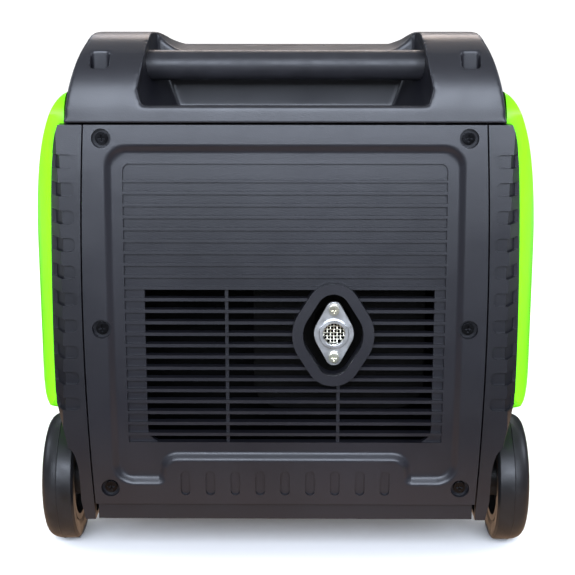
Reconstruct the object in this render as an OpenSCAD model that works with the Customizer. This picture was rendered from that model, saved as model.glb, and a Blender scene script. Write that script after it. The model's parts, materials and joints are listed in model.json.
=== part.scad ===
// Portable inverter generator: moulded suitcase housing, two wheels, fixed rear handle,
// telescopic pull handle, control panel, engine, alternator and silencer.
// X is across the machine, -Y is the exhaust end, +Y is the control end, Z is up.
// The origin is on the floor, under the middle of the machine.

/* [Housing] */
// Length over the two bulged end covers
body_length = 610; // [600:2:620]
// Width over the two coloured side panels
panel_width = 460; // [456:1:461]
// Height of the rear shoulders above the floor
shoulder_height = 491.5; // [490:0.5:493]
// Height of the flat deck above the floor
deck_height = 465; // [465:1:466]
// Seam between the top cover and the shells
seam_height = 413; // [412:1:414]
// Gap between the floor and the underside of the base tray
ground_gap = 47; // [44:1:48]
// Thickness of the moulded walls
wall = 3; // [2.5:0.5:3]

/* [End covers] */
// Half the width of each end cover, at its widest
cover_half_width = 178.8; // [178:0.2:179]
// Radius of the bulge of both end faces
bulge_radius = 1500; // [1400:50:1700]
// Depth of the wide recess in the rear cover
recess_depth = 5; // [4:0.5:6]
// Pitch of the grille ribs
rib_pitch = 10.55; // [10.5:0.05:10.6]
// Height of each groove between two ribs
groove_height = 7.7; // [7.5:0.1:8.5]
// Depth of the grooves
groove_depth = 3; // [2:0.5:3]

/* [Wheels] */
// Radius of the tyres
tyre_radius = 61.5; // [60:0.5:62]
// Width of the tyres
tyre_width = 31; // [28:1:31]
// Radius of the axle
axle_radius = 6; // [5:0.5:6]
// Distance of the axle behind the middle of the machine
axle_back = 215; // [212:1:218]

/* [Handles] */
// Radius of the fixed rear grip
rear_grip_radius = 13.5; // [12:0.5:14]
// Height of the rear grip's centre line
rear_grip_height = 460; // [458:1:461]
// Radius of the sliding handle tubes
slide_tube_radius = 8; // [7:0.5:8]
// Height of the sliding handle tubes
slide_tube_height = 447; // [446.5:0.5:447.5]

/* [Exhaust outlet] */
// Sideways place of the tailpipe
tailpipe_x = 44; // [40:1:48]
// Height of the tailpipe
tailpipe_z = 224; // [220:1:228]
// Radius of the tailpipe's mouth
tailpipe_radius = 10; // [9:0.5:10.5]

/* [Engine] */
// Height of the crankshaft
crank_height = 165; // [160:1:168]
// Lean of the cylinder towards +X
cylinder_lean = 25; // [20:1:28]
// Radius at which the starter rope winds on its pulley
rope_wind_radius = 46; // [44:1:48]

/* [Hidden] */

half_length = body_length / 2;
half_panel = panel_width / 2;
bulge_z = 230;              // height at which both end faces stand out furthest
cover_low = 63;             // lower edge of both end covers
seam = 1.4;                 // open joint round the end covers and under the top cover
cover_high = seam_height - seam;
axle_y = -axle_back;
axle_z = tyre_radius;
tyre_outside = half_panel + 0.5;
tyre_inside = tyre_outside - tyre_width;
hub_radius = 44;
well_radius = 75;           // wheel arch
well_inside = 188;          // outer face of the wheel arch's inner wall
plate_y = half_length - 15; // front surface of the flat control panel
big = 700;
dark = "#2b2c31";
darker = "#1b1b1e";
steel = "#b9bbc0";
alloy = "#9ea1a6";
lime = "#8ff000";

// ---------------------------------------------------------------- helpers

// Stands a flat (x, z) drawing up and gives it depth from y0 to y1.
module along_y(y0, y1) {
    translate([0, y1, 0]) rotate([90, 0, 0]) linear_extrude(y1 - y0) children();
}

// Stands a flat (y, z) drawing up and gives it width from x0 to x1.
module along_x(x0, x1) {
    translate([x0, 0, 0]) rotate([90, 0, 90]) linear_extrude(x1 - x0) children();
}

module box(x0, x1, y0, y1, z0, z1) {
    translate([x0, y0, z0]) cube([x1 - x0, y1 - y0, z1 - z0]);
}

// A round bar along Y, and one along X.
module bar_y(x, z, r, y0, y1) {
    translate([x, y1, z]) rotate([90, 0, 0]) cylinder(r = r, h = y1 - y0, $fn = 64);
}

module bar_x(y, z, r, x0, x1) {
    translate([x0, y, z]) rotate([0, 90, 0]) cylinder(r = r, h = x1 - x0, $fn = 64);
}

module rounded_rect(x0, x1, z0, z1, r) {
    translate([x0 + r, z0]) square([x1 - x0 - 2 * r, z1 - z0]);
    translate([x0, z0 + r]) square([x1 - x0, z1 - z0 - 2 * r]);
    for (x = [x0 + r, x1 - r], z = [z0 + r, z1 - r]) translate([x, z]) circle(r = r, $fn = 48);
}

// Everything on the machine's side of an end face, at a depth below its bulged surface.
// face is -1 for the exhaust end and +1 for the control end.
module behind_face(face, depth) {
    translate([0, face * (half_length - bulge_radius), bulge_z]) rotate([0, 90, 0])
        cylinder(r = bulge_radius - depth, h = big, center = true, $fn = 256);
}

// A flat (x, z) drawing laid on an end face, between two depths below its surface.
module end_plate(face, depth0, depth1) {
    near = min(face * (half_length - 60), face * (half_length + 20));
    intersection() {
        along_y(near, near + 80) children();
        difference() {
            behind_face(face, depth0);
            behind_face(face, depth1);
        }
    }
}

// Softens the corners of an open line of points and keeps its two ends.
function eased(p, times) = times == 0 ? p : eased(concat(
    [p[0]],
    [for (i = [0 : len(p) - 2], t = [0.25, 0.75]) p[i] + (p[i + 1] - p[i]) * t],
    [p[len(p) - 1]]), times - 1);

// Depth of the end faces behind the bulge's crest, at a height.
function sag(z) = bulge_radius - sqrt(pow(bulge_radius, 2) - pow(z - bulge_z, 2));

// ---------------------------------------------------------------- end covers

// The end covers are a little barrel-shaped: two very large arcs bound them sideways.
barrel_radius = 4000;
module barrel(grow = 0) intersection_for (s = [-1, 1])
    translate([s * (cover_half_width + grow - barrel_radius), 240]) circle(r = barrel_radius, $fn = 720);

module cover_outline(inset = 0) intersection() {
    rounded_rect(-cover_half_width + inset, cover_half_width - inset,
                 cover_low + inset, cover_high - inset, 2);
    barrel(-inset);
}

screw_spots = [for (s = [-1, 1]) for (p = [[160, 400], [163, 231.5], [160.5, 79]]) [s * p[0], p[1]]];
screw_recess_radius = 8.5;
screw_seat_depth = 7;

// The wide recess, whose lower edge steps up over the raised tray.
tray_half_width = 112;
tray_high = 110;
module recess_outline(grow = 0) {
    difference() {
        rounded_rect(-155 - grow, 155 + grow, 86 - grow, 391 + grow, 14 + grow);
        translate([0, 50]) rounded_rect(-tray_half_width + grow, tray_half_width - grow,
                                        0, tray_high - 50 - grow, 10);
    }
}

groove_half_width = 142.5;
rows = 24;                  // grooves in all; the last 14 are open slots
open_row = 10;
function groove_top(row) = row == 0 ? 377.7 : 361.5 - rib_pitch * (row - 1);
function groove_low(row) = row == 0 ? 363.5 : max(123, groove_top(row) - groove_height);

module groove_rows(first, last) {
    for (row = [first : last]) {
        height = groove_top(row) - groove_low(row);
        translate([-groove_half_width, groove_low(row)])
            square([2 * groove_half_width, row == 0 ? height / 2 : height]);
    }
    if (first == 0)
        rounded_rect(-groove_half_width, groove_half_width, groove_low(0), groove_top(0), 6.5);
}

// The open part of the grille: square above, with round lower corners.
vent = [-125, 133, 122, 268];
module vent_area() {
    rounded_rect(vent[0], vent[1], vent[2], vent[3], 14);
    translate([vent[0], 200]) square([vent[1] - vent[0], vent[3] - 200]);
}

module vent_window() {
    difference() {
        vent_area();
        for (x = [-52, 48]) translate([x - 1.5, 100]) square([3, 200]);
    }
}

// A long plate with round ends and a wide round middle: the tangents join the three circles.
module lozenge(middle, ends, reach) {
    lean = acos((middle - ends) / reach);
    circle(r = middle, $fn = 64);
    for (s = [-1, 1]) {
        translate([0, s * reach]) circle(r = ends, $fn = 48);
        polygon([[middle * sin(lean), s * middle * cos(lean)],
                 [ends * sin(lean), s * (reach + ends * cos(lean))],
                 [-ends * sin(lean), s * (reach + ends * cos(lean))],
                 [-middle * sin(lean), s * middle * cos(lean)]]);
    }
}

module boss_outline(grow = 0) {
    translate([tailpipe_x - 1, tailpipe_z + 2]) lozenge(27 + grow, 15 + grow, 22.5);
}

module rear_cover() color(dark) {
    boss_wall = 9.5;
    floor_wall = groove_depth + 1.5;
    rib_depth = 9;
    difference() {
        union() {
            end_plate(-1, 0, wall) difference() {
                cover_outline();
                recess_outline();
            }
            end_plate(-1, 0, recess_depth + floor_wall) difference() {
                recess_outline(wall);
                recess_outline();
            }
            end_plate(-1, recess_depth, recess_depth + floor_wall) recess_outline();
            end_plate(-1, recess_depth, recess_depth + rib_depth)
                translate([vent[0] - 4, vent[2] - 4])
                    square([vent[1] - vent[0] + 8, vent[3] - vent[2] + 8]);
            end_plate(-1, 0, 14) difference() {
                cover_outline();
                cover_outline(wall);
            }
            end_plate(-1, 0, 18) boss_outline(boss_wall);
            end_plate(-1, 0, 12) for (p = screw_spots) translate(p) circle(r = 11, $fn = 48);
        }
        end_plate(-1, -2, recess_depth + groove_depth) difference() {
            groove_rows(0, rows - 1);
            boss_outline(boss_wall);
        }
        end_plate(-1, -2, 20) difference() {
            intersection() {
                groove_rows(open_row, rows - 1);
                vent_window();
            }
            boss_outline(boss_wall);
        }
        end_plate(-1, -2, 20) boss_outline();
        end_plate(-1, -2, 2) for (i = [-4 : 4])
            rounded_rect(i * 22.85 - 4.3, i * 22.85 + 4.3, 72, 96, 4.2);
        for (p = screw_spots) {
            seat = half_length - sag(p[1]) - screw_seat_depth;
            bar_y(p[0], p[1], screw_recess_radius, -half_length - 5, -seat);
            bar_y(p[0], p[1], 3, -half_length - 5, -half_length + 40);
        }
    }
}

// Pan-head screws that sit at the bottom of their recesses in an end cover.
module cover_screws(face) {
    for (p = screw_spots) {
        seat = half_length - sag(p[1]) - screw_seat_depth;
        mirror([0, face > 0 ? 0 : 1, 0]) difference() {
            union() {
                bar_y(p[0], p[1], 5.5, seat, seat + 3.5);
                bar_y(p[0], p[1], 2.9, seat - 16, seat);
            }
            for (a = [0, 90]) translate([p[0], seat + 3, p[1]]) rotate([0, a, 0])
                cube([6, 3, 1.2], center = true);
        }
    }
}

module rear_cover_screws() color(darker) cover_screws(-1);

panel_half_width = 150;
panel_low = 150;
panel_high = 386;

module panel_window(grow = 0) {
    rounded_rect(-panel_half_width - grow, panel_half_width + grow,
                 panel_low - grow, panel_high + grow, 12 + grow);
}

module front_cover() color(dark) difference() {
    union() {
        end_plate(1, 0, wall) difference() {
            cover_outline();
            panel_window();
        }
        intersection() {
            end_plate(1, 0, 20) difference() {
                panel_window(wall);
                panel_window();
            }
            box(-big, big, plate_y - wall, big, 0, big);
        }
        end_plate(1, 0, 14) difference() {
            cover_outline();
            cover_outline(wall);
        }
        end_plate(1, 0, 12) for (p = screw_spots) translate(p) circle(r = 11, $fn = 48);
    }
    end_plate(1, -2, 20) for (i = [0 : 4]) difference() {
        rounded_rect(-130, 130, 84 + i * 11, 90 + i * 11, 2.9);
        for (x = [-45, 45]) translate([x - 2, 80]) square([4, 60]);
    }
    for (p = screw_spots) {
        seat = half_length - sag(p[1]) - screw_seat_depth;
        bar_y(p[0], p[1], screw_recess_radius, seat, half_length + 5);
        bar_y(p[0], p[1], 3, half_length - 40, half_length + 5);
    }
}

module front_cover_screws() color(darker) cover_screws(1);

// ---------------------------------------------------------------- base, wheels and side shells

tray_half = 173;
module base_tray() color(darker) difference() {
    union() {
        difference() {
            box(-tray_half, tray_half, -half_length + 13, half_length - 13, ground_gap, cover_low - 0.5);
            box(-tray_half + wall, tray_half - wall, -half_length + 16, half_length - 16,
                ground_gap + wall, big);
        }
        for (s = [-1, 1])
            box(s * 155 - 8, s * 155 + 8, axle_y - 16, axle_y + 16, ground_gap, axle_z + 14);
    }
    bar_x(axle_y, axle_z, axle_radius + 0.05, -big, big);
}

// A moulded leg under each front corner, with a round rubber pad.
module front_feet() color(darker) for (s = [-1, 1]) {
    translate([s * 140, 235, 0]) cylinder(r = 22, h = 16, $fn = 64);
    difference() {
        box(s * 140 - 32, s * 140 + 32, 205, 265, 12, ground_gap);
        for (y = [205, 265]) translate([s * 140, y, 12]) rotate([0, 90, 0])
            cylinder(r = 6, h = 100, center = true, $fn = 48);
    }
}

module axle() color(steel) bar_x(axle_y, axle_z, axle_radius, -tyre_outside + 3, tyre_outside - 3);

module axle_caps() color(steel) for (s = [-1, 1]) mirror([s < 0 ? 1 : 0, 0, 0]) difference() {
    bar_x(axle_y, axle_z, 13, tyre_outside - 8, tyre_outside - 1);
    bar_x(axle_y, axle_z, axle_radius, tyre_outside - 9, tyre_outside - 3);
}

// Turns a (radius, x) drawing about the axle of the right-hand wheel.
module about_axle() {
    translate([0, axle_y, axle_z]) rotate([0, 90, 0]) rotate_extrude($fn = 128) children();
}

module tyre() about_axle() difference() {
    union() {
        translate([hub_radius, tyre_inside + 6]) square([tyre_radius - hub_radius, tyre_width - 12]);
        translate([hub_radius, tyre_inside]) square([tyre_radius - hub_radius - 6, tyre_width]);
        for (x = [tyre_inside + 6, tyre_outside - 6])
            translate([tyre_radius - 6, x]) circle(r = 6, $fn = 32);
    }
}

module wheel_hub() difference() {
    about_axle() {
        translate([axle_radius + 0.05, tyre_inside - 3]) square([13, tyre_width - 6]);
        translate([axle_radius + 2, tyre_inside + 10]) square([hub_radius - axle_radius - 2, 5]);
        translate([hub_radius - 6, tyre_inside + 2]) square([6, tyre_width - 6]);
    }
    for (a = [0 : 72 : 359]) translate([0, axle_y, axle_z]) rotate([a, 0, 0])
        translate([0, 0, 28]) rotate([0, 90, 0]) cylinder(r = 7, h = big, $fn = 32);
}

module right_tyre() color(darker) tyre();
module left_tyre() color(darker) mirror([1, 0, 0]) tyre();
module right_wheel_hub() color(darker) wheel_hub();
module left_wheel_hub() color(darker) mirror([1, 0, 0]) wheel_hub();

// Outer side of a shell, seen from the end: full in the middle, drawn in at the top.
function shell_side(grow) = eased([
    [197.5 + grow, cover_high + grow], [203 + grow, 396], [206.5 + grow, 365], [209 + grow, 310],
    [210.5 + grow, 240], [210 + grow, 180], [207 + grow, 110], [202 + grow, ground_gap - grow]], 2);

module shell_front(grow = 0)
    polygon(concat([[0, cover_high + grow]], shell_side(grow), [[0, ground_gap - grow]]));

// Cuts the upright corner between an end face and the shell's side; it leans in towards the top.
module corner_chamfer(face, inset) mirror([0, face > 0 ? 1 : 0, 0])
    translate([196.6, -half_length, 265]) rotate([0, -1.33, 0]) rotate([0, 0, -31])
        translate([-inset, -100, -400]) cube([100, 300, 800]);

// Draws the shell's lower corner in, from the side panel's lower edge to the wheel arch's shoulder.
module corner_relief(inset)
    translate([209, -283, 154]) rotate([0, 11, -14]) translate([-inset, -150, -150]) cube([100, 300, 300]);

module side_envelope(inset) difference() {
    intersection() {
        along_y(-half_length - 5, half_length + 5) shell_front(-inset);
        behind_face(-1, inset);
        behind_face(1, inset);
    }
    along_y(-big, big) barrel(seam + inset);
    for (face = [-1, 1]) corner_chamfer(face, inset);
    corner_relief(inset);
}

notch_pitch = 24.3;
notch_depth = 3;
module side_notches() difference() {
    for (face = [-1, 1], i = [0 : 9])
        along_y(min(face * 286, face * (half_length + 5)), max(face * 286, face * (half_length + 5)))
            rounded_rect(184.5, 240, 155.5 + i * notch_pitch, 167.5 + i * notch_pitch, 4.5);
    side_envelope(notch_depth);
}

// The space for a wheel, open towards the end face below the arch's round shoulder.
arch_shoulder = 121;
module wheel_arch(grow, inside) {
    bar_x(axle_y, axle_z, well_radius + grow, inside, big);
    along_y(-half_length - 40, axle_y - 40) polygon(concat(
        [[big, -40], [big, arch_shoulder + grow]],
        eased([[inside + 14, arch_shoulder + grow], [inside + 6, arch_shoulder + grow - 4],
               [inside + 2, arch_shoulder + grow - 16], [inside, arch_shoulder - 32],
               [inside, -40]], 2)));
}

module side_shell() difference() {
    union() {
        difference() {
            side_envelope(0);
            side_envelope(wall);
            wheel_arch(0, well_inside);
            box(170, 184.5, -half_length + 20, half_length - 20, ground_gap + wall, cover_high - wall);
        }
        intersection() {
            side_envelope(0);
            union() {
                for (face = [-1, 1]) box(182, big, min(face * 284, face * (half_length + 5)),
                                         max(face * 284, face * (half_length + 5)), 125, seam_height);
                difference() {
                    wheel_arch(wall, well_inside - wall);
                    wheel_arch(0, well_inside);
                }
            }
        }
        box(186, 191, -255, 255, seam_height - 6, seam_height);
    }
    side_notches();
    bar_x(axle_y, axle_z, axle_radius + 0.3, 0, big);
}

rope_y = 117;
rope_z = crank_height + rope_wind_radius;

// The pocket for the starter grip: a moulded box that reaches in through the shell.
pocket_half_length = 40;
pocket_half_height = 32;
pocket_floor = 187;
module grip_pocket(inset) box(pocket_floor + inset, big,
    rope_y - pocket_half_length + inset, rope_y + pocket_half_length - inset,
    rope_z - pocket_half_height + inset, rope_z + pocket_half_height - inset);

module right_side_shell() color(dark) difference() {
    side_shell();
    grip_pocket(-0.5);
}
module left_side_shell() color(dark) mirror([1, 0, 0]) side_shell();

panel_end = 283;            // how far the side panels reach along Y
function panel_side(inset) = eased([
    [190, 438 - inset], [195 - inset, 438 - inset], [203.5 - inset / 2, 428 - inset], [211 - inset, 409],
    [217.5 - inset, 385], [half_panel - 7 - inset, 350], [half_panel - 1.3 - inset, 295],
    [half_panel + 0.2 - inset, 250], [half_panel - 0.2 - inset, 212], [half_panel - 2.2 - inset, 180],
    [half_panel - 7 - inset, 156 + inset], [211 - inset, 146 + inset], [190, 146 + inset]], 2);

module panel_body(inset) intersection() {
    along_x(190, big) rounded_rect(-panel_end + inset, panel_end - inset, 146 + inset, 438 - inset, 24);
    linear_extrude(big) polygon(eased([
        [190, -panel_end + inset], [207 - inset, -panel_end + inset], [215 - inset, -278 + inset],
        [224 - inset, -264 + inset], [half_panel - inset, -238 + inset], [half_panel - inset, 0],
        [half_panel - inset, 238 - inset], [224 - inset, 264 - inset], [215 - inset, 278 - inset],
        [207 - inset, panel_end - inset], [190, panel_end - inset]], 2));
    along_y(-big, big) polygon(panel_side(inset));
}

module side_panel() difference() {
    panel_body(0);
    panel_body(wall);
    along_y(-big, big) shell_front(0.3);
    box(0, 193.6, -big, big, 0, big);
}

module right_side_panel() color(lime) difference() {
    union() {
        side_panel();
        intersection() {
            grip_pocket(0);
            union() {
                box(0, 200, -big, big, 0, big);
                panel_body(0);
            }
        }
    }
    grip_pocket(wall);
    bar_x(rope_y, rope_z, 3, 0, big);
}
module left_side_panel() color(lime) mirror([1, 0, 0]) side_panel();

// ---------------------------------------------------------------- top cover

// Side profile: tall shoulders at the exhaust end fall to the flat deck.
module top_side_profile(inset) {
    base = seam_height - (inset > 0 ? 1 : 0);
    polygon(eased([
        [-294.3 + inset, base], [-292 + inset, 432], [-287 + inset, 449], [-278 + inset, 464 - inset / 2],
        [-264 + inset / 2, 476 - inset], [-246, shoulder_height - 4 - inset],
        [-226, shoulder_height - inset],
        [-200, shoulder_height - inset], [-170, shoulder_height - 2 - inset], [-130, 481 - inset],
        [-90, 475.5 - inset], [-45, 469.5 - inset], [0, deck_height + 1 - inset],
        [35, deck_height - inset], [60, deck_height - inset], [215, deck_height - inset],
        [245, deck_height - 3 - inset], [270 - inset / 2, 450 - inset / 2],
        [287 - inset, 432], [294.3 - inset, base]], 2));
}

module top_front_profile(inset) {
    base = seam_height - (inset > 0 ? 1 : 0);
    half = eased([[192.3 - inset, base], [190.5 - inset, 432], [186.8 - inset, 450],
                  [182.8 - inset, 464.6], [179 - inset, 476 - inset / 2], [175.8 - inset, 484.5 - inset],
                  [173.4 - inset, shoulder_height - 0.5 - inset], [171 - inset, shoulder_height - inset],
                  [160, shoulder_height - inset], [100, shoulder_height - inset]], 2);
    polygon(concat(half, [for (i = [len(half) - 1 : -1 : 0]) [-half[i][0], half[i][1]]]));
}

// Space cut out between the shoulders, down to the crest of the deck behind the hand recess.
deck_crest = 471;
module channel(grow) along_y(-big, big) {
    half = eased([[0, deck_crest - grow], [85, deck_crest - grow],
                  [100 + grow, deck_crest + 1.5 - grow], [110 + grow, deck_crest + 9],
                  [117 + grow, deck_crest + 17], [121 + grow, shoulder_height + 2],
                  [122 + grow, big]], 2);
    polygon(concat(half, [for (i = [len(half) - 1 : -1 : 1]) [-half[i][0], half[i][1]]]));
}

recess_back = -202;         // far wall of the hand recess at the exhaust end
lip_z = 428;
hand_floor = 418;

module recess_mouth(floor, grow) polygon([
    [-124 - grow, floor - grow], [124 + grow, floor - grow], [128 + grow, max(floor + 12, 441)],
    [117 + grow, 500], [-117 - grow, 500], [-128 - grow, max(floor + 12, 441)]]);

module recess_far_wall(grow) polygon([
    [-99 - grow, hand_floor - grow], [99 + grow, hand_floor - grow], [118 + grow, 471],
    [120 + grow, 500], [-120 - grow, 500], [-118 - grow, 471]]);

module rear_hand_recess(grow) {
    hull() {
        along_y(-half_length + 24 - grow, -half_length + 25 - grow) recess_mouth(hand_floor, grow);
        along_y(recess_back - 1 + grow, recess_back + grow) recess_far_wall(grow);
    }
    along_y(-big, -half_length + 30) recess_mouth(lip_z, grow);
}

front_recess_back = 205;
module front_hand_recess(grow) {
    box(-122 - grow, 122 + grow, front_recess_back - grow, half_length - 24 + grow, 420 - grow, big);
    box(-122 - grow, 122 + grow, half_length - 30, big, 425 - grow, big);
}

cap_y = 95;
pocket_low = 438;
lid_hinge_y = cap_y + 52;
lid_hinge_z = deck_height - 3;
pocket_radius = 58;
module cap_pocket(grow) translate([0, cap_y, pocket_low - grow])
    cylinder(r = pocket_radius + grow, h = big, $fn = 96);

shoulder_screw_spots = [for (s = [-1, 1], y = [-273, 264]) [s * 162, y]];

module top_solid(inset) difference() {
    intersection() {
        along_x(-big, big) top_side_profile(inset);
        along_y(-big, big) top_front_profile(inset);
    }
    channel(inset);
    rear_hand_recess(inset);
    front_hand_recess(inset);
    cap_pocket(inset);
}

module top_cover() color(dark) difference() {
    union() {
        difference() {
            top_solid(0);
            top_solid(wall);
        }
        for (p = shoulder_screw_spots) intersection() {
            top_solid(0);
            translate([p[0] - 11, p[1] - 10, seam_height]) cube([22, 20, 90]);
        }
    }
    for (p = shoulder_screw_spots) {
        translate([p[0] - 8, p[1] - 7, 440]) cube([16, 14, 90]);
        translate([p[0], p[1], 400]) cylinder(r = 2.6, h = big, $fn = 48);
    }
    translate([0, cap_y, 400]) cylinder(r = 32, h = big, $fn = 96);
    bar_x(rear_grip_y, rear_grip_height, 9, -128, 128);
    bar_x(lid_hinge_y, lid_hinge_z, 1.55, -29, 29);
    for (s = [-1, 1]) bar_y(s * 104, slide_tube_height, slide_tube_radius + 0.3, 180, 230);
}

module top_cover_screws() color(steel) for (p = shoulder_screw_spots) translate([p[0], p[1], 0])
    difference() {
        union() {
            translate([0, 0, 440]) cylinder(r = 5.5, h = 3.5, $fn = 48);
            translate([0, 0, 420]) cylinder(r = 2.5, h = 20, $fn = 48);
        }
        for (a = [0, 90]) translate([0, 0, 443]) rotate([0, 0, a])
            cube([5.5, 1.1, 3], center = true);
    }

rear_grip_y = -235;
module rear_handle_grip() color(darker) {
    bar_x(rear_grip_y, rear_grip_height, 9, -127, 127);
    intersection() {
        bar_x(rear_grip_y, rear_grip_height, rear_grip_radius, -130, 130);
        rear_hand_recess(0);
    }
}

pull_y = 252;               // cross bar of the sliding handle when pushed in
module pull_handle_frame() color(steel) {
    bar_x(pull_y, slide_tube_height, slide_tube_radius, -104, 104);
    for (s = [-1, 1]) {
        bar_y(s * 104, slide_tube_height, slide_tube_radius, -130, pull_y);
        translate([s * 104, pull_y, slide_tube_height]) sphere(r = slide_tube_radius, $fn = 64);
    }
}

button_half = 13;
module pull_handle_grip() color(darker) difference() {
    bar_x(pull_y, slide_tube_height, 13, -88, 88);
    bar_x(pull_y, slide_tube_height, slide_tube_radius, -big, big);
    box(-button_half - 0.3, button_half + 0.3, pull_y - 5.3, pull_y + 5.3, slide_tube_height, big);
}

module handle_release_button() color("#c43a1e")
    box(-button_half, button_half, pull_y - 5, pull_y + 5,
        slide_tube_height + 11.4, slide_tube_height + 15);

module handle_bushings() color(darker) for (s = [-1, 1]) difference() {
    bar_y(s * 104, slide_tube_height, 12, front_recess_back - wall - 14, front_recess_back - wall);
    bar_y(s * 104, slide_tube_height, slide_tube_radius + 0.05, 0, big);
}

// ---------------------------------------------------------------- fuel system

module fuel_tank() color(darker) difference() {
    union() {
        along_x(-140, 140) rounded_rect(12, 200, 300, 404, 20);
        translate([0, cap_y, 390]) cylinder(r = 31, h = pocket_low + 8 - 390, $fn = 96);
        for (x = [-125, 125], y = [110, 165]) translate([x, y, 395])
            cylinder(r = 7, h = deck_height - wall - 396, $fn = 48);
    }
    along_x(-137, 137) rounded_rect(15, 197, 303, 401, 17);
    translate([0, cap_y, 380]) cylinder(r = 28, h = big, $fn = 96);
}

// A flush lid over the filler, on a pin across the rim of its pocket.
module fuel_lid() color(dark) {
    difference() {
        translate([0, cap_y, deck_height - 2.7]) cylinder(r = pocket_radius - 0.5, h = 2.5, $fn = 128);
        box(-big, big, cap_y + 45, big, 0, big);
        translate([0, cap_y - pocket_radius, deck_height])
            cylinder(r = 9, h = 4, center = true, $fn = 48);
    }
    box(-17.5, 17.5, cap_y + 44, lid_hinge_y, deck_height - 2.7, deck_height - 0.2);
    bar_x(lid_hinge_y, lid_hinge_z, 2.6, -17.5, 17.5);
    bar_x(lid_hinge_y, lid_hinge_z, 1.5, -28, 28);
}

module fuel_cap() color(darker) translate([0, cap_y, 0]) difference() {
    union() {
        translate([0, 0, pocket_low + 1]) cylinder(r = 38, h = 18, $fn = 96);
        for (a = [0 : 30 : 359]) rotate([0, 0, a]) translate([38, 0, pocket_low + 1])
            cylinder(r = 4, h = 18, $fn = 24);
    }
    translate([0, 0, pocket_low]) cylinder(r = 31.3, h = 8.5, $fn = 96);
}

module fuel_vent_knob() color(darker) translate([0, cap_y, pocket_low + 19.2]) {
    cylinder(r = 11, h = 3, $fn = 64);
    translate([-11, -3, 0]) cube([22, 6, 4]);
}

module fuel_hose() color(darker) bar_y(-40, 348, 4, -60, 12);

// ---------------------------------------------------------------- engine

crank_radius = 12;

// Places a shape on the leaning cylinder's axis, measured from the crankshaft.
module on_cylinder() translate([0, -80, crank_height]) rotate([0, cylinder_lean, 0]) children();

module crankcase() color(alloy) difference() {
    union() {
        bar_y(0, crank_height, 72, -160, 0);
        box(-70, 70, -160, 0, 74, crank_height);
        on_cylinder() translate([-48, -48, 0]) cube([96, 96, 80]);
    }
    bar_y(0, crank_height, 46, -112, -30);
    bar_y(0, crank_height, crank_radius + 0.05, -130, 10);
    on_cylinder() cylinder(r = 30, h = big, $fn = 96);
}

module cylinder_block() color(alloy) on_cylinder() difference() {
    union() {
        translate([0, 0, 80]) cylinder(r = 38, h = 85, $fn = 96);
        for (i = [0 : 7]) translate([-50, -50, 84 + i * 10.5]) cube([100, 100, 2.5]);
    }
    translate([0, 0, 70]) cylinder(r = 30, h = 100, $fn = 96);
}

module cylinder_head() color(alloy) on_cylinder() difference() {
    translate([-50, -50, 165]) cube([100, 100, 25]);
    for (i = [0 : 2]) translate([-60, -60, 170 + i * 7]) difference() {
        cube([120, 120, 4]);
        translate([20, 20, -1]) cube([80, 80, 6]);
    }
    translate([38, 0, 178]) rotate([0, 90, 0]) cylinder(r = 5, h = 40, $fn = 32);
}

module rocker_cover() color(darker) on_cylinder() translate([-40, -42, 190]) cube([80, 84, 30]);

module spark_plug() color("white") on_cylinder() {
    translate([38, 0, 178]) rotate([0, 90, 0]) cylinder(r = 5, h = 12, $fn = 32);
    translate([50, 0, 178]) rotate([0, 90, 0]) cylinder(r = 9, h = 6, $fn = 6);
    translate([56, 0, 178]) rotate([0, 90, 0]) cylinder(r = 5, h = 18, $fn = 32);
}

module carburettor() color(alloy) {
    box(-60, 12, -100, -60, 332, 364);
    on_cylinder() translate([-70, -16, 168]) cube([20, 32, 20]);
}

module air_filter_box() color(darker) along_y(-150, -30) rounded_rect(-165, -60.1, 290, 390, 10);

module crankshaft() color(steel) difference() {
    union() {
        bar_y(0, crank_height, crank_radius, -120, -76);
        bar_y(0, crank_height, crank_radius, -60, 100);
        bar_y(0, crank_height, 38, -88, -76);
        bar_y(0, crank_height, 38, -60, -48);
        bar_y(0, crank_height + 22, 10, -76, -60);
    }
}

module alternator_rotor() color(alloy) difference() {
    bar_y(0, crank_height, 60, 14, 50);
    bar_y(0, crank_height, 12, 0, 60);
}

module alternator_stator() color("#a4552b") difference() {
    bar_y(0, crank_height, 85, 0, 50);
    bar_y(0, crank_height, 61, 12, 51);
    bar_y(0, crank_height, 15, -1, 13);
}

module cooling_fan() color(darker) difference() {
    union() {
        bar_y(0, crank_height, 92, 55, 58);
        bar_y(0, crank_height, 40, 58, 92);
        for (a = [0 : 30 : 359]) translate([0, 58, crank_height]) rotate([0, a, 0])
            translate([38, 0, -1.5]) cube([50, 20, 3]);
    }
    bar_y(0, crank_height, 12, 0, 100);
    bar_y(0, crank_height, 34, 62, 100);
}

module fan_shroud() color(darker) difference() {
    bar_y(0, crank_height, 101, 3, 108);
    bar_y(0, crank_height, 98, 0, 105);
    bar_y(0, crank_height, 62, 100, 110);
    box(-70, 70, -1, 9, 0, crank_height);
}

module recoil_cover() color(darker) {
    bar_y(0, crank_height, 75, 124, 127);
    bar_y(0, crank_height, 7.95, 111, 124);
    for (a = [90, 210, 330])
        bar_y(68 * cos(a), crank_height + 68 * sin(a), 4, 108, 124);
}

module recoil_pulley() color(darker) difference() {
    bar_y(0, crank_height, 50, 112, 122);
    bar_y(0, crank_height, 8, 100, 130);
    difference() {
        bar_y(0, crank_height, 60, 114.5, 119.5);
        bar_y(0, crank_height, rope_wind_radius - 2.3, 114, 120);
    }
}

grip_inside = 206;          // hidden face of the starter grip's bar
module recoil_rope() color("#e8e4da") bar_x(rope_y, rope_z, 2, -190, grip_inside - 12);

module recoil_grip() color(darker) {
    bar_x(rope_y, rope_z, 6, grip_inside - 12, grip_inside);
    along_y(rope_y - 30, rope_y + 30)
        rounded_rect(grip_inside, grip_inside + 15, rope_z - 11, rope_z + 11, 5);
}

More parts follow.
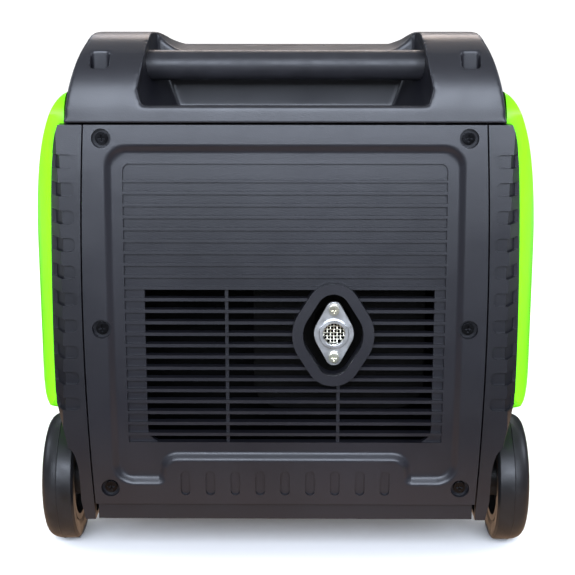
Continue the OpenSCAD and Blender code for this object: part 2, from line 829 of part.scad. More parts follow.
// ---------------------------------------------------------------- exhaust

module muffler() color(alloy) difference() {
    union() {
        along_y(-246, -192) rounded_rect(-30, 130, 140, 335, 26);
        bar_y(tailpipe_x, tailpipe_z, 17, -286.5, -246);
        bar_y(97, 315, 14, -192, -130);
    }
    along_y(-244, -194) rounded_rect(-28, 128, 142, 333, 24);
    bar_y(tailpipe_x, tailpipe_z, tailpipe_radius + 1, -290, -260);
    bar_y(97, 315, 12, -200, -129);
}

module muffler_shroud() color(darker) difference() {
    box(-150, 150, -284, -186, 105, 345);
    box(-148, 148, -290, -188, 107, 343);
    bar_y(97, 315, 15, -200, -180);
}

flange_front = -290;
flange_screw_reach = 22;
module tailpipe_flange() color(steel) difference() {
    union() {
        along_y(flange_front, -286.5) translate([tailpipe_x, tailpipe_z])
            lozenge(18, 7.5, flange_screw_reach);
        bar_y(tailpipe_x, tailpipe_z, 13.3, flange_front - 3, flange_front);
    }
    bar_y(tailpipe_x, tailpipe_z, tailpipe_radius, -300, -280);
    for (s = [-1, 1]) bar_y(tailpipe_x, tailpipe_z + s * flange_screw_reach, 2.2, -300, -280);
}

module tailpipe_screws() color(steel) for (s = [-1, 1]) difference() {
    union() {
        bar_y(tailpipe_x, tailpipe_z + s * flange_screw_reach, 4.6, flange_front - 3.5, flange_front);
        bar_y(tailpipe_x, tailpipe_z + s * flange_screw_reach, 2.1, flange_front, -272);
    }
    for (a = [0, 90]) translate([tailpipe_x, flange_front - 3.2, tailpipe_z + s * flange_screw_reach])
        rotate([0, a, 0]) cube([5, 3, 1], center = true);
}

// The wire screen, held behind the flange; the gauze itself is finer than its frame.
module spark_arrestor() color("#cdbf9a") bar_y(tailpipe_x, tailpipe_z, tailpipe_radius, -286.5, -284.5);

// ---------------------------------------------------------------- electrics

module inverter_module() color(alloy) {
    box(-130, 60, 150, 200, ground_gap + wall, 220);
    for (i = [0 : 12]) box(-128 + i * 15, -125 + i * 15, 200, 215, 60, 220);
}

module battery() color(darker) {
    box(72, 158, 150, 235, ground_gap + wall, 140);
    for (x = [86, 144]) translate([x, 192, 140]) cylinder(r = 5, h = 8, $fn = 32);
}

module engine_mounts() color(darker) for (x = [-85, 85], y = [-162, -25])
    translate([x, y, ground_gap + wall]) cylinder(r = 14, h = 20, $fn = 48);

module engine_skid() color(steel) box(-110, 110, -182, 0, ground_gap + wall + 20, 74);

// Places on the control panel, as [x, z].
display_spot = [92, 348];
knob_spot = [-98, 340];
start_spot = [30, 350];
eco_spot = [-20, 350];
duplex_spots = [[110, 250], [55, 250]];
round_outlet_spot = [-14, 255];
breaker_spot = [-70, 262];
lamp_spots = [for (i = [0 : 2]) [-112 + i * 14, 285]];
dc_spot = [62, 180];
usb_spot = [112, 180];
jack_spots = [[12, 180], [-18, 180]];
ground_spot = [-115, 178];
dc_radius = 10.5;
jack_radius = 2.1;

// Everything that passes through the panel, drawn flat.
module panel_holes() {
    translate(display_spot) square([60, 34], center = true);
    translate(knob_spot) circle(r = 6.3, $fn = 48);
    translate(start_spot) circle(r = 9.3, $fn = 48);
    translate(eco_spot) square([14, 24], center = true);
    for (p = duplex_spots) translate(p) square([36, 68], center = true);
    translate(round_outlet_spot) circle(r = 23, $fn = 64);
    translate(breaker_spot) circle(r = 6.3, $fn = 48);
    for (p = lamp_spots) translate(p) circle(r = 3, $fn = 32);
    translate(dc_spot) circle(r = 13.5, $fn = 48);
    translate(usb_spot) square([26, 16], center = true);
    for (p = jack_spots) translate(p) circle(r = 6, $fn = 48);
    translate(ground_spot) circle(r = 3, $fn = 48);
}

module control_panel() color(darker) along_y(plate_y - wall, plate_y) difference() {
    panel_window(-0.2);
    panel_holes();
}

module blade_slots() for (x = [-6.5, 6.5]) translate([x - 1.1, -4]) square([2.2, 9]);

module outlets() color(darker) {
    for (p = duplex_spots) difference() {
        union() {
            along_y(plate_y, plate_y + 2.5) translate(p) rounded_rect(-20, 20, -37, 37, 3);
            along_y(plate_y - 26, plate_y) translate(p) square([36, 68], center = true);
        }
        along_y(plate_y - 12, big) translate(p) for (z = [-18, 18]) translate([0, z]) {
            blade_slots();
            translate([0, -9]) circle(r = 2.6, $fn = 32);
        }
    }
    difference() {
        union() {
            along_y(plate_y, plate_y + 4) translate(round_outlet_spot) circle(r = 27, $fn = 96);
            along_y(plate_y - 30, plate_y) translate(round_outlet_spot) circle(r = 23, $fn = 96);
        }
        along_y(plate_y - 14, big) translate(round_outlet_spot) {
            for (a = [-35, 35]) rotate(a) translate([-1.4, 5]) square([2.8, 12]);
            translate([0, -11]) circle(r = 3, $fn = 32);
        }
    }
    difference() {
        union() {
            along_y(plate_y, plate_y + 4) translate(dc_spot) circle(r = 17, $fn = 64);
            along_y(plate_y - 30, plate_y) translate(dc_spot) circle(r = 13.5, $fn = 64);
        }
        bar_y(dc_spot[0], dc_spot[1], dc_radius, plate_y - 28, big);
    }
    difference() {
        union() {
            along_y(plate_y, plate_y + 2) translate(usb_spot) rounded_rect(-17, 17, -12, 12, 3);
            along_y(plate_y - 16, plate_y) translate(usb_spot) square([26, 16], center = true);
        }
        along_y(plate_y - 10, big) translate(usb_spot) for (x = [-6, 6]) translate([x, 0])
            square([5, 12], center = true);
    }
    for (p = jack_spots) difference() {
        union() {
            along_y(plate_y, plate_y + 8) translate(p) circle(r = 8.5, $fn = 48);
            along_y(plate_y - 20, plate_y) translate(p) circle(r = 6, $fn = 48);
        }
        bar_y(p[0], p[1], jack_radius, plate_y - 14, big);
    }
}

// Display, lamps, breaker collar and ground terminal.
module panel_fittings() color(steel) {
    along_y(plate_y, plate_y + 2) translate(display_spot) rounded_rect(-33, 33, -20, 20, 3);
    along_y(plate_y - 12, plate_y) translate(display_spot) square([60, 34], center = true);
    for (p = lamp_spots) along_y(plate_y - 6, plate_y + 1.5) translate(p) circle(r = 3, $fn = 32);
    along_y(plate_y - 20, plate_y + 12) translate(ground_spot) circle(r = 3, $fn = 48);
    along_y(plate_y, plate_y + 4) translate(ground_spot) difference() {
        circle(r = 6.5, $fn = 6);
        circle(r = 3, $fn = 48);
    }
}

module engine_knob() color(darker) {
    along_y(plate_y - 8, plate_y + 0.5) translate(knob_spot) circle(r = 6, $fn = 48);
    along_y(plate_y + 0.5, plate_y + 5) translate(knob_spot) circle(r = 26, $fn = 96);
    along_y(plate_y + 5, plate_y + 13) translate(knob_spot) square([11, 46], center = true);
}

module start_button() color("#c43a1e") {
    along_y(plate_y - 8, plate_y + 5) translate(start_spot) circle(r = 9, $fn = 64);
}

eco_half_angle = 10;
module eco_switch() color(darker) difference() {
    translate([eco_spot[0], plate_y - 4, eco_spot[1]]) rotate([0, 90, 0])
        cylinder(r = 11.6, h = 13.4, center = true, $fn = 96);
    translate([0, plate_y - 4, eco_spot[1]]) rotate([eco_half_angle / 2, 0, 0])
        translate([-big / 2, 8, -50]) cube([big, 50, 100]);
    translate([0, plate_y - 4, eco_spot[1]]) rotate([eco_half_angle / 2, 0, 0])
        translate([-big / 2, -50, -50]) cube([big, 46, 100]);
}

module breaker_button() color("#d8d4c8") {
    along_y(plate_y - 8, plate_y + 5) translate(breaker_spot) circle(r = 6, $fn = 48);
}

// ---------------------------------------------------------------- what to draw

base_tray();
front_feet();
engine_mounts();
engine_skid();
axle();
axle_caps();
left_tyre();
left_wheel_hub();
right_tyre();
right_wheel_hub();
left_side_shell();
right_side_shell();
left_side_panel();
right_side_panel();
rear_cover();
rear_cover_screws();
front_cover();
front_cover_screws();
top_cover();
top_cover_screws();
rear_handle_grip();
pull_handle_frame();
pull_handle_grip();
handle_release_button();
handle_bushings();
fuel_tank();
fuel_lid();
fuel_cap();
fuel_vent_knob();
fuel_hose();
crankcase();
cylinder_block();
cylinder_head();
rocker_cover();
spark_plug();
carburettor();
air_filter_box();
crankshaft();
alternator_rotor();
alternator_stator();
cooling_fan();
fan_shroud();
recoil_cover();
recoil_pulley();
recoil_rope();
recoil_grip();
muffler();
muffler_shroud();
tailpipe_flange();
tailpipe_screws();
spark_arrestor();
inverter_module();
battery();
control_panel();
outlets();
panel_fittings();
engine_knob();
start_button();
eco_switch();
breaker_button();
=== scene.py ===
"""Looks of a wheeled portable inverter generator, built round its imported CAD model.

The exhaust end faces -Y and the control end faces +Y. Units are metres.
"""
import json
import math

import bmesh
import bpy
import numpy
from mathutils import Matrix, Vector


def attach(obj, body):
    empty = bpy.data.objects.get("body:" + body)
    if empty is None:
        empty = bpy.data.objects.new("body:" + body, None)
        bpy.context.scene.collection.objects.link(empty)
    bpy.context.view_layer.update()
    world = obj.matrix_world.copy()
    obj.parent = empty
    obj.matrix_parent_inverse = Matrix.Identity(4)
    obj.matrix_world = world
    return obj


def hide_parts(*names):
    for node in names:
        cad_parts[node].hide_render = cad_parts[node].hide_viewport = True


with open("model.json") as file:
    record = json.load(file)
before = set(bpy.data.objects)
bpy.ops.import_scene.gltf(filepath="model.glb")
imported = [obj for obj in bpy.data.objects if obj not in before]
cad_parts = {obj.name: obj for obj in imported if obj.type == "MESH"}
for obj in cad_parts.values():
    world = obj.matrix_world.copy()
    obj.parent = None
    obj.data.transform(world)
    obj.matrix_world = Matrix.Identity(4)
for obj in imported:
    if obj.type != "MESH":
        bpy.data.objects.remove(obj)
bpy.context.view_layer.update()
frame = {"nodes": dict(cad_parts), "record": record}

NODES = frame["nodes"]
RECORD = frame["record"]
SLOT_OF = {part["node"]: part["material_slot"] for part in RECORD["subparts"]}
BODY_OF = {node: body for body, nodes in RECORD["behaviour"]["bodies"].items() for node in nodes}
MM = 0.001

# The end faces bulge: a cylinder of this radius lies on its side at this height.
HALF_LENGTH = 305 * MM
BULGE_RADIUS = 1.5
BULGE_HEIGHT = 230 * MM

# The wide recess in the rear cover, and the raised tray along its lower edge.
RECESS_DEPTH = 5 * MM
RECESS_BOX = (-155 * MM, 155 * MM, 86 * MM, 391 * MM)
TRAY_BOX = (-112 * MM, 112 * MM, 30 * MM, 110 * MM)

# Facets closer together than this are joined before a mesh is worked on.
WELD_DISTANCE = 0.01 * MM

AXLE = Vector((0, -215 * MM, 61.5 * MM))
TAILPIPE = Vector((44 * MM, 0, 224 * MM))
GAUZE_FACE = -285.6 * MM

# The moulded top cover: its seam, the part above the deck that is pressed down, and its filler's rim.
SEAM_TOP = 416.5 * MM
DECK_HEIGHT = 472 * MM
RISE_SHARE = 0.87
CREST_HEIGHT = 484 * MM
SCREW_POCKET_X = 162 * MM
SCREW_POCKET_Y = (-273 * MM, 264 * MM)
FILLER_Y = 95 * MM
FILLER_RIM_RADIUS = 58 * MM

# ------------------------------------------------------------------ camera, light and floor


def linked(name, data):
    """A new object in the scene's collection."""
    obj = bpy.data.objects.new(name, data)
    bpy.context.collection.objects.link(obj)
    return obj


def aim(obj, place, target):
    """Puts an object at a place and turns its -Z towards a target."""
    obj.location = place
    obj.rotation_euler = (Vector(target) - Vector(place)).to_track_quat("-Z", "Y").to_euler()


def make_camera():
    data = bpy.data.cameras.new("camera")
    data.sensor_width = 36.0
    data.lens = 81.4
    camera = linked("camera", data)
    camera.location = (0.0115, -1.424, 0.518)
    camera.rotation_euler = (math.radians(90 - 12.5), 0, math.radians(0.47))
    bpy.context.scene.camera = camera


def soft_light(name, place, target, size, power, colour=(1, 1, 1)):
    data = bpy.data.lights.new(name, "AREA")
    data.shape = "RECTANGLE"
    data.size, data.size_y = size
    data.energy = power
    data.color = colour
    aim(linked(name, data), place, target)


def make_studio():
    world = bpy.data.worlds.new("studio")
    bpy.context.scene.world = world
    world.use_nodes = True
    sky = world.node_tree.nodes["Background"]
    sky.inputs["Color"].default_value = (1.0, 1.0, 1.0, 1)
    sky.inputs["Strength"].default_value = 1.12
    cool = (0.77, 0.85, 1.0)
    soft_light("front_softbox", (0.0, -2.2, 1.22), (0, 0, 0.42), (2.4, 0.95), 92, cool)
    soft_light("warm_top", (0.1, 1.9, 2.05), (0, 0, 0.4), (1.4, 0.6), 14, (1.0, 0.70, 0.46))
    soft_light("right_fill", (2.4, -0.2, 1.5), (0, 0, 0.3), (1.4, 1.0), 22, cool)
    soft_light("left_fill", (-2.4, -0.2, 1.5), (0, 0, 0.3), (1.4, 1.0), 22, cool)
    soft_light("rear_softbox", (0.0, 2.2, 2.1), (0, 0, 0.42), (2.2, 0.6), 22, cool)
    bpy.context.scene.view_settings.view_transform = "Standard"


def reflection_card(name, corners, colour, strength):
    """A studio card that only shiny surfaces see; it neither lights nor shades anything."""
    mesh = bpy.data.meshes.new(name)
    mesh.from_pydata(corners, [], [(0, 1, 2, 3)])
    card = linked(name, mesh)
    material = bpy.data.materials.new(name)
    material.use_nodes = True
    glow = material.node_tree.nodes.new("ShaderNodeEmission")
    glow.inputs["Color"].default_value = (*colour, 1)
    glow.inputs["Strength"].default_value = strength
    output = material.node_tree.nodes["Material Output"]
    material.node_tree.links.new(glow.outputs["Emission"], output.inputs["Surface"])
    mesh.materials.append(material)
    card.visible_camera = False
    card.visible_diffuse = False
    card.visible_shadow = False
    card.visible_transmission = False


def flat_square(reach, height):
    """The corners of a level square about the origin."""
    return [(x * reach, y * reach, height) for x, y in ((-1, -1), (1, -1), (1, 1), (-1, 1))]


def make_cards():
    """The room round the softboxes, as shiny surfaces see it; the floor darkens towards the object."""
    grey = (0.86, 0.92, 1.0)
    brown = (1.0, 0.66, 0.45)
    far = 3.2
    low = 0.004
    high = 3.2
    rings = ((far, 0.60, grey), (1.5, 0.30, grey), (1.0, 0.02, grey), (0.48, 0.75, brown))
    for number, (reach, strength, colour) in enumerate(rings):
        corners = flat_square(reach, low + number * 0.001)
        reflection_card("floor_card_%d" % number, corners, colour, strength)
    walls = (("left_card", -1, 0), ("right_card", 1, 0), ("front_card", 0, -1), ("rear_card", 0, 1))
    top = Vector((0, 0, high))
    for name, x, y in walls:
        across = Vector((-y, x, 0)) * far
        out = Vector((x, y, 0)) * far
        corners = [out - across, out + across, out + across + top, out - across + top]
        reflection_card(name, corners, grey, 0.10)
    reflection_card("ceiling_card", flat_square(far, high), grey, 0.65)


def make_floor():
    mesh = bpy.data.meshes.new("floor")
    mesh.from_pydata(flat_square(14.0, 0), [], [(0, 1, 2, 3)])
    floor = linked("floor", mesh)
    paint = Paint("floor_paper")
    paint.surface(colour=(0.985, 0.985, 0.985), rough=0.9, specular=0.0)
    paint.mottle(scale=3.0, amount=0.004)
    floor.data.materials.append(paint.material)


# ------------------------------------------------------------------ materials


class Paint:
    """Builds one procedural material step by step; every pattern is in object space, in metres."""

    def __init__(self, name):
        self.material = bpy.data.materials.new(name)
        self.material.use_nodes = True
        self.tree = self.material.node_tree
        self.shader = self.tree.nodes["Principled BSDF"]
        self.place = self.tree.nodes.new("ShaderNodeTexCoord").outputs["Object"]
        self.height = None

    def node(self, kind, **inputs):
        made = self.tree.nodes.new(kind)
        for key, value in inputs.items():
            made.inputs[key.replace("_", " ")].default_value = value
        return made

    def link(self, source, target):
        self.tree.links.new(source, target)

    def surface(self, colour, rough, metallic=0.0, specular=0.5):
        self.colour = colour
        self.rough = rough
        self.shader.inputs["Base Color"].default_value = (*colour, 1)
        self.shader.inputs["Roughness"].default_value = rough
        self.shader.inputs["Metallic"].default_value = metallic
        self.shader.inputs["Specular IOR Level"].default_value = specular

    def noise(self, scale, detail=3.0, stretch=(1, 1, 1)):
        """A noise pattern; stretch draws it out along an axis where it is below 1."""
        pattern = self.node("ShaderNodeTexNoise", Scale=scale, Detail=detail)
        if stretch == (1, 1, 1):
            self.link(self.place, pattern.inputs["Vector"])
        else:
            squeeze = self.node("ShaderNodeMapping")
            squeeze.inputs["Scale"].default_value = stretch
            self.link(self.place, squeeze.inputs["Vector"])
            self.link(squeeze.outputs["Vector"], pattern.inputs["Vector"])
        return pattern.outputs["Fac"]

    def spread(self, factor, low, high):
        """Maps the middle of a 0..1 pattern onto a range of values."""
        ramp = self.node("ShaderNodeMapRange")
        ramp.inputs["From Min"].default_value = 0.3
        ramp.inputs["From Max"].default_value = 0.7
        ramp.inputs["To Min"].default_value = low
        ramp.inputs["To Max"].default_value = high
        self.link(factor, ramp.inputs["Value"])
        return ramp.outputs["Result"]

    def mottle(self, scale, amount, stretch=(1, 1, 1)):
        """Uneven colour: the base drifts towards a darker and a lighter tone."""
        ramp = self.node("ShaderNodeValToRGB")
        dark = [c * (1 - amount * 3) for c in self.colour]
        light = [min(1.0, c * (1 + amount * 3) + amount * 0.02) for c in self.colour]
        ramp.color_ramp.elements[0].position = 0.3
        ramp.color_ramp.elements[1].position = 0.72
        ramp.color_ramp.elements[0].color = (*dark, 1)
        ramp.color_ramp.elements[1].color = (*light, 1)
        self.link(self.noise(scale, 5.0, stretch), ramp.inputs["Fac"])
        self.link(ramp.outputs["Color"], self.shader.inputs["Base Color"])
        finer = self.noise(scale * 2.3, 4.0, stretch)
        uneven = self.spread(finer, self.rough - amount, self.rough + amount)
        self.link(uneven, self.shader.inputs["Roughness"])

    def bump(self, factor, depth):
        """Adds a height pattern, whose depth is in metres, on top of any earlier one."""
        bump = self.node("ShaderNodeBump", Strength=1.0, Distance=depth)
        self.link(factor, bump.inputs["Height"])
        if self.height is not None:
            self.link(self.height, bump.inputs["Normal"])
        self.height = bump.outputs["Normal"]
        self.link(self.height, self.shader.inputs["Normal"])

    def grain(self, cell, depth):
        """The spark-eroded grain of a moulded surface: rounded cells of a given width."""
        cells = self.node("ShaderNodeTexVoronoi", Scale=1.0 / cell)
        cells.feature = "SMOOTH_F1"
        self.link(self.place, cells.inputs["Vector"])
        self.bump(cells.outputs["Distance"], depth)


def plastic(name, colour, rough, cell=0.0009, depth=0.00005, drift=0.05, specular=0.5):
    paint = Paint(name)
    paint.surface(colour, rough, specular=specular)
    paint.mottle(scale=9.0, amount=drift)
    paint.grain(cell, depth)
    return paint.material


def metal(name, colour, rough, brushed=(1, 1, 1), depth=0.00002, drift=0.08):
    paint = Paint(name)
    paint.surface(colour, rough, metallic=1.0)
    paint.mottle(scale=60.0, amount=drift, stretch=brushed)
    paint.bump(paint.noise(900.0, 4.0, brushed), depth)
    return paint.material


def painted(name, colour, rough, depth=0.00004, specular=0.45):
    paint = Paint(name)
    paint.surface(colour, rough, specular=specular)
    paint.mottle(scale=25.0, amount=0.05)
    paint.bump(paint.noise(1400.0, 2.0), depth)
    return paint.material


def rubber(name, colour, rough, depth=0.00006):
    paint = Paint(name)
    paint.surface(colour, rough, specular=0.35)
    paint.mottle(scale=40.0, amount=0.08)
    paint.bump(paint.noise(1800.0, 3.0), depth)
    return paint.material


def braided(name, colour):
    paint = Paint(name)
    paint.surface(colour, 0.8)
    paint.mottle(scale=700.0, amount=0.12)
    waves = paint.node("ShaderNodeTexWave", Scale=180.0)
    waves.bands_direction = "DIAGONAL"
    paint.link(paint.place, waves.inputs["Vector"])
    paint.bump(waves.outputs["Fac"], 0.0003)
    return paint.material


def make_materials():
    steel_grain = (1, 0.05, 1)
    return {
        "black_moulding": plastic("black_moulding", (0.007, 0.007, 0.010), 0.37),
        "black_cover": plastic("black_cover", (0.008, 0.008, 0.0115), 0.38),
        "lime_moulding": plastic("lime_moulding", (0.165, 0.76, 0.0), 0.35, 0.002, 0.00001, 0.02,
                                 specular=0.25),
        "soft_rubber": rubber("soft_rubber", (0.02, 0.02, 0.02), 0.75),
        "tyre_rubber": rubber("tyre_rubber", (0.007, 0.007, 0.008), 0.40),
        "hub_moulding": plastic("hub_moulding", (0.010, 0.010, 0.011), 0.42),
        "zinc_steel": metal("zinc_steel", (0.62, 0.62, 0.60), 0.32, steel_grain),
        # Black paint on the steel, darkened further to near-black as painted shade for the dark inside
        # of the housing behind the louvres.
        "black_steel": painted("black_steel", (0.002, 0.002, 0.002), 0.8, specular=0.05),
        "black_screws": metal("black_screws", (0.03, 0.03, 0.033), 0.25),
        "grip_rubber": rubber("grip_rubber", (0.012, 0.012, 0.015), 0.42),
        "red_moulding": plastic("red_moulding", (0.55, 0.03, 0.015), 0.35),
        "nylon": plastic("nylon", (0.03, 0.03, 0.03), 0.6),
        "tank_moulding": plastic("tank_moulding", (0.03, 0.03, 0.03), 0.6),
        "black_cap": plastic("black_cap", (0.02, 0.02, 0.021), 0.45),
        "cast_alloy": metal("cast_alloy", (0.5, 0.5, 0.51), 0.55, depth=0.0001),
        "plug_porcelain": plastic("plug_porcelain", (0.85, 0.84, 0.8), 0.2, 0.002, 0.00001, 0.02),
        "forged_steel": metal("forged_steel", (0.5, 0.5, 0.5), 0.3, steel_grain),
        "rotor_iron": metal("rotor_iron", (0.2, 0.2, 0.2), 0.5),
        "copper_windings": metal("copper_windings", (0.55, 0.22, 0.08), 0.4, depth=0.0002),
        "rope_cord": braided("rope_cord", (0.7, 0.68, 0.62)),
        # Black paint on the muffler, darkened further to near-black as painted shade for the dark
        # inside of the housing behind the louvres.
        "muffler_steel": painted("muffler_steel", (0.003, 0.0028, 0.0025), 0.8, specular=0.08),
        "satin_steel": metal("satin_steel", (0.86, 0.85, 0.83), 0.34, depth=0.00005),
        "yellow_zinc": metal("yellow_zinc", (0.86, 0.80, 0.64), 0.32),
        "wire_gauze": metal("wire_gauze", (0.92, 0.86, 0.70), 0.30),
        "battery_case": plastic("battery_case", (0.04, 0.04, 0.05), 0.6),
        "panel_sheet": plastic("panel_sheet", (0.02, 0.02, 0.022), 0.5, 0.0006, 0.00003),
        "socket_moulding": plastic("socket_moulding", (0.012, 0.012, 0.012), 0.4),
        "display_trim": plastic("display_trim", (0.012, 0.012, 0.014), 0.15, 0.002, 0.000005),
        "knob_moulding": plastic("knob_moulding", (0.02, 0.02, 0.02), 0.4),
        "rocker_moulding": plastic("rocker_moulding", (0.012, 0.012, 0.012), 0.25),
        "white_moulding": plastic("white_moulding", (0.75, 0.74, 0.70), 0.4),
    }


# ------------------------------------------------------------------ finish of the CAD nodes


def soften(obj, width=0.6 * MM, segments=2, angle=28):
    """Joins the facets of a CAD node and rounds its sharp edges, with modifiers only."""
    weld = obj.modifiers.new("weld", "WELD")
    weld.merge_threshold = WELD_DISTANCE
    planar = obj.modifiers.new("planar", "DECIMATE")
    planar.decimate_type = "DISSOLVE"
    planar.angle_limit = math.radians(0.6)
    round_edges(obj, width, segments, angle)


def round_edges(obj, width=0.6 * MM, segments=2, angle=28):
    bevel = obj.modifiers.new("bevel", "BEVEL")
    bevel.width = width
    bevel.segments = segments
    bevel.limit_method = "ANGLE"
    bevel.angle_limit = math.radians(angle)
    bevel.use_clamp_overlap = True
    smooth = obj.modifiers.new("normals", "WEIGHTED_NORMAL")
    smooth.keep_sharp = False
    smooth.weight = 80
    for face in obj.data.polygons:
        face.use_smooth = True


def finish_cad(materials):
    edge = {"left_side_shell": 0.9 * MM, "right_side_shell": 0.9 * MM,
            "left_side_panel": 1.2 * MM, "right_side_panel": 1.2 * MM}
    for name, obj in NODES.items():
        obj.data.materials.clear()
        obj.data.materials.append(materials[SLOT_OF[name]])
        soften(obj, edge.get(name, 0.6 * MM))


# ------------------------------------------------------------------ pieces that stand for CAD nodes


def stand_in(piece, node, materials):
    """Gives a finished piece the body and the finish of the CAD node that it stands for."""
    bpy.context.collection.objects.link(piece)
    slot = SLOT_OF[node]
    piece.data.materials.clear()
    piece.data.materials.append(materials[slot])
    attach(piece, BODY_OF[node])
    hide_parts(node)


def node_mesh(node):
    """A bmesh copy of a CAD node, in the frame's own place, with its facets joined."""
    source = NODES[node]
    mesh = bmesh.new()
    mesh.from_mesh(source.data)
    mesh.transform(source.matrix_world)
    bmesh.ops.remove_doubles(mesh, verts=mesh.verts, dist=WELD_DISTANCE)
    bmesh.ops.dissolve_limit(mesh, angle_limit=math.radians(0.5), verts=mesh.verts,
                             edges=mesh.edges, delimit=set())
    return mesh


def piece_from(mesh, name):
    data = bpy.data.meshes.new(name)
    mesh.to_mesh(data)
    mesh.free()
    return bpy.data.objects.new(name, data)


def built_from(name, verts, faces, fill_holes=False):
    """A mesh from points and faces, with its open ends closed if asked and its normals outward."""
    data = bpy.data.meshes.new(name)
    data.from_pydata(verts, [], faces)
    data.update()
    mesh = bmesh.new()
    mesh.from_mesh(data)
    if fill_holes:
        bmesh.ops.holes_fill(mesh, edges=mesh.edges)
    bmesh.ops.recalc_face_normals(mesh, faces=mesh.faces)
    mesh.to_mesh(data)
    mesh.free()
    return data


def box_distance(x, z, box, radius):
    """Signed distance to a rectangle with rounded corners; it is negative inside."""
    dx = abs(x - (box[0] + box[1]) / 2) - (box[1] - box[0]) / 2 + radius
    dz = abs(z - (box[2] + box[3]) / 2) - (box[3] - box[2]) / 2 + radius
    return math.hypot(max(dx, 0), max(dz, 0)) + min(max(dx, dz), 0) - radius


def recess_distance(x, z):
    """Signed distance to the recess: inside its frame, but outside the raised tray."""
    frame_side = box_distance(x, z, RECESS_BOX, 17 * MM)
    tray_side = -box_distance(x, z, TRAY_BOX, 14 * MM)
    blend = 8 * MM
    mix = max(blend - abs(frame_side - tray_side), 0) / blend
    return max(frame_side, tray_side) + mix * mix * blend / 4


def bulge_surface(z):
    return -HALF_LENGTH + BULGE_RADIUS - math.sqrt(BULGE_RADIUS ** 2 - (z - BULGE_HEIGHT) ** 2)


def cut_rows(mesh, axis, places):
    """Cuts the mesh along a row of planes square to an axis."""
    normal = Vector([1.0 if i == axis else 0.0 for i in range(3)])
    for place in places:
        near = [f for f in mesh.faces
                if min(v.co[axis] for v in f.verts) < place < max(v.co[axis] for v in f.verts)]
        parts = set(near)
        for face in near:
            parts.update(face.edges)
            parts.update(face.verts)
        bmesh.ops.bisect_plane(mesh, geom=list(parts), dist=0.00002,
                               plane_co=normal * place, plane_no=normal)


def soft_recess(mesh):
    """Turns the hard step round the recess into a soft S-shaped band, 7.8 mm wide."""
    half_band = 3.9 * MM
    fine = [i * 1.15 * MM for i in range(-4, 5)]
    inner = [-(6.5 + 2 * i) * MM for i in range(6)]
    for side in (-1, 1):
        cut_rows(mesh, 0, [side * (RECESS_BOX[1] + step) for step in fine + inner])
        cut_rows(mesh, 0, [side * (TRAY_BOX[1] + step) for step in fine + inner])
    cut_rows(mesh, 2, [RECESS_BOX[3] + step for step in fine + inner])
    cut_rows(mesh, 2, [RECESS_BOX[2] - step for step in fine + inner])
    cut_rows(mesh, 2, [TRAY_BOX[3] + step for step in fine + inner[:3]])
    for vert in mesh.verts:
        depth = vert.co.y - bulge_surface(vert.co.z)
        distance = recess_distance(vert.co.x, vert.co.z)
        on_front = abs(depth) < 0.5 * MM or abs(depth - RECESS_DEPTH) < 0.5 * MM
        if on_front and abs(distance) < half_band + 3 * MM:
            rise = min(max((distance + half_band) / (2 * half_band), 0), 1)
            rise = rise * rise * (3 - 2 * rise)
            vert.co.y = bulge_surface(vert.co.z) + RECESS_DEPTH * (1 - rise)
    bmesh.ops.remove_doubles(mesh, verts=mesh.verts, dist=0.00004)
    bmesh.ops.dissolve_degenerate(mesh, edges=mesh.edges, dist=0.00003)
    wide = [f for f in mesh.faces if len(f.verts) > 4]
    bmesh.ops.triangulate(mesh, faces=wide)


def make_rear_cover(materials):
    mesh = node_mesh("rear_cover")
    soft_recess(mesh)
    piece = piece_from(mesh, "rear_cover_moulded")
    stand_in(piece, "rear_cover", materials)
    round_edges(piece, 0.75 * MM, 3, 34)


def relax(points, edges, weights, rounds):
    """Evens out a mesh: every point moves part of the way to the middle of its neighbours."""
    count = numpy.zeros(len(points))
    numpy.add.at(count, edges[:, 0], 1)
    numpy.add.at(count, edges[:, 1], 1)
    for _ in range(rounds):
        total = numpy.zeros_like(points)
        numpy.add.at(total, edges[:, 0], points[edges[:, 1]])
        numpy.add.at(total, edges[:, 1], points[edges[:, 0]])
        points = points + (total / count[:, None] - points) * (0.5 * weights)[:, None]
    return points


def top_cover_weights(points):
    """How far the top cover may soften: little at its seam, crests, screw pockets and filler's rim."""
    weights = numpy.ones(len(points))
    x, y, z = points[:, 0], points[:, 1], points[:, 2]
    weights[z < SEAM_TOP] = 0.08
    for end in SCREW_POCKET_Y:
        near = (abs(abs(x) - SCREW_POCKET_X) < 11 * MM) & (abs(y - end) < 10 * MM)
        weights[near] = 0.12
    weights[z > CREST_HEIGHT] = 0.35
    rim = abs(numpy.hypot(x, y - FILLER_Y) - FILLER_RIM_RADIUS) < 3 * MM
    weights[rim] = 0.05
    return weights


def make_top_cover(materials):
    """The top cover remeshed and evened out; its rise above the deck is lower than in the CAD node."""
    rough = piece_from(node_mesh("top_cover"), "top_cover_rough")
    bpy.context.collection.objects.link(rough)
    remesh = rough.modifiers.new("remesh", "REMESH")
    remesh.mode = "VOXEL"
    remesh.voxel_size = 1.5 * MM
    graph = bpy.context.evaluated_depsgraph_get()
    data = bpy.data.meshes.new_from_object(rough.evaluated_get(graph))
    bpy.data.objects.remove(rough)
    points = numpy.empty(len(data.vertices) * 3)
    data.vertices.foreach_get("co", points)
    points = points.reshape(-1, 3)
    edges = numpy.empty(len(data.edges) * 2, dtype=numpy.int64)
    data.edges.foreach_get("vertices", edges)
    points = relax(points, edges.reshape(-1, 2), top_cover_weights(points), 9)
    above = points[:, 2] > DECK_HEIGHT
    points[above, 2] = DECK_HEIGHT + (points[above, 2] - DECK_HEIGHT) * RISE_SHARE
    data.vertices.foreach_set("co", points.ravel())
    for face in data.polygons:
        face.use_smooth = True
    piece = bpy.data.objects.new("top_cover_moulded", data)
    stand_in(piece, "top_cover", materials)


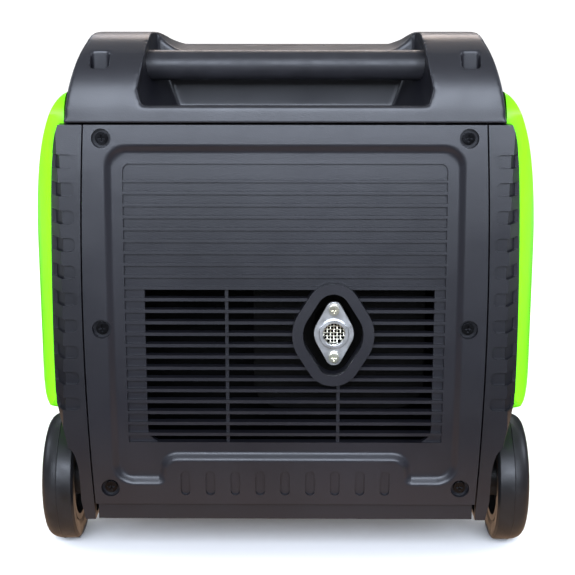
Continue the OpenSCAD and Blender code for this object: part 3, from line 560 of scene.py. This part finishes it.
def turned(name, outline, centre, segments=160):
    """Turns a closed outline of (x, radius) points about a line along X through a centre."""
    verts = []
    faces = []
    for i in range(segments):
        angle = 2 * math.pi * i / segments
        for x, radius in outline:
            y = centre.y + radius * math.sin(angle)
            z = centre.z + radius * math.cos(angle)
            verts.append((x, y, z))
    count = len(outline)
    for i in range(segments):
        for j in range(count):
            k = (j + 1) % count
            a, b = i * count, ((i + 1) % segments) * count
            faces.append((a + j, a + k, b + k, b + j))
    return bpy.data.objects.new(name, built_from(name, verts, faces))


def make_tyres(materials):
    """A tread with a fine parting ridge, a crisp inner shoulder and a round outer one."""
    inner, outer, radius, bead = 199.5, 230.5, 61.5, 44.0
    middle = (inner + outer) / 2 + 0.5
    inner_side = [(3, bead), (2.5, bead + 1.5), (1.2, bead + 4), (1.0, bead + 9), (0.4, radius - 5),
                  (0.2, radius - 3.2), (2.2, radius - 0.6), (3.2, radius - 0.25)]
    ridge = [(-0.9, radius - 0.05), (-0.35, radius), (-0.2, radius + 0.35),
             (0.2, radius + 0.35), (0.35, radius), (0.9, radius - 0.05)]
    outer_side = [(-11, radius - 0.4), (-8, radius - 1.1), (-5.2, radius - 2.4),
                  (-3.0, radius - 4.2), (-1.4, radius - 6.6), (-0.4, radius - 9.6),
                  (0, radius - 12.6), (-0.9, bead + 3), (-1.2, bead + 1.5), (-2.5, bead)]
    outline = [(start + x, r)
               for start, run in ((inner, inner_side), (middle, ridge), (outer, outer_side))
               for x, r in run]
    for side, node in ((1, "right_tyre"), (-1, "left_tyre")):
        points = [(side * x * MM, r * MM) for x, r in outline]
        piece = turned(node + "_turned", points, AXLE)
        stand_in(piece, node, materials)
        round_edges(piece, 0.25 * MM, 2, 25)


def make_gauze(materials):
    """Woven wires across the tailpipe's mouth."""
    pitch, wire, reach = 3.0 * MM, 0.58 * MM, 9.8 * MM
    sides = 6
    verts = []
    faces = []
    rows = int(reach / pitch)
    for along in (0, 1):
        for row in range(-rows, rows + 1):
            offset = row * pitch
            half = math.sqrt(reach ** 2 - offset ** 2)
            steps = max(4, int(2 * half / (pitch / 4)))
            first = len(verts)
            for i in range(steps + 1):
                t = -half + 2 * half * i / steps
                phase = math.pi * (t / pitch + row + along)
                depth = wire * 0.95 * math.cos(phase)
                for k in range(sides):
                    angle = 2 * math.pi * k / sides
                    side = offset + wire * math.cos(angle)
                    out = depth + wire * math.sin(angle)
                    x, z = (t, side) if along == 0 else (side, t)
                    verts.append((TAILPIPE.x + x, GAUZE_FACE + out, TAILPIPE.z + z))
            for i in range(steps):
                for k in range(sides):
                    a = first + i * sides
                    b = a + sides
                    faces.append((a + k, a + (k + 1) % sides, b + (k + 1) % sides, b + k))
    data = built_from("gauze", verts, faces, fill_holes=True)
    for face in data.polygons:
        face.use_smooth = True
    stand_in(bpy.data.objects.new("spark_arrestor_gauze", data), "spark_arrestor", materials)


make_camera()
make_studio()
make_cards()
make_floor()
materials = make_materials()
finish_cad(materials)
make_rear_cover(materials)
make_top_cover(materials)
make_tyres(materials)
make_gauze(materials)
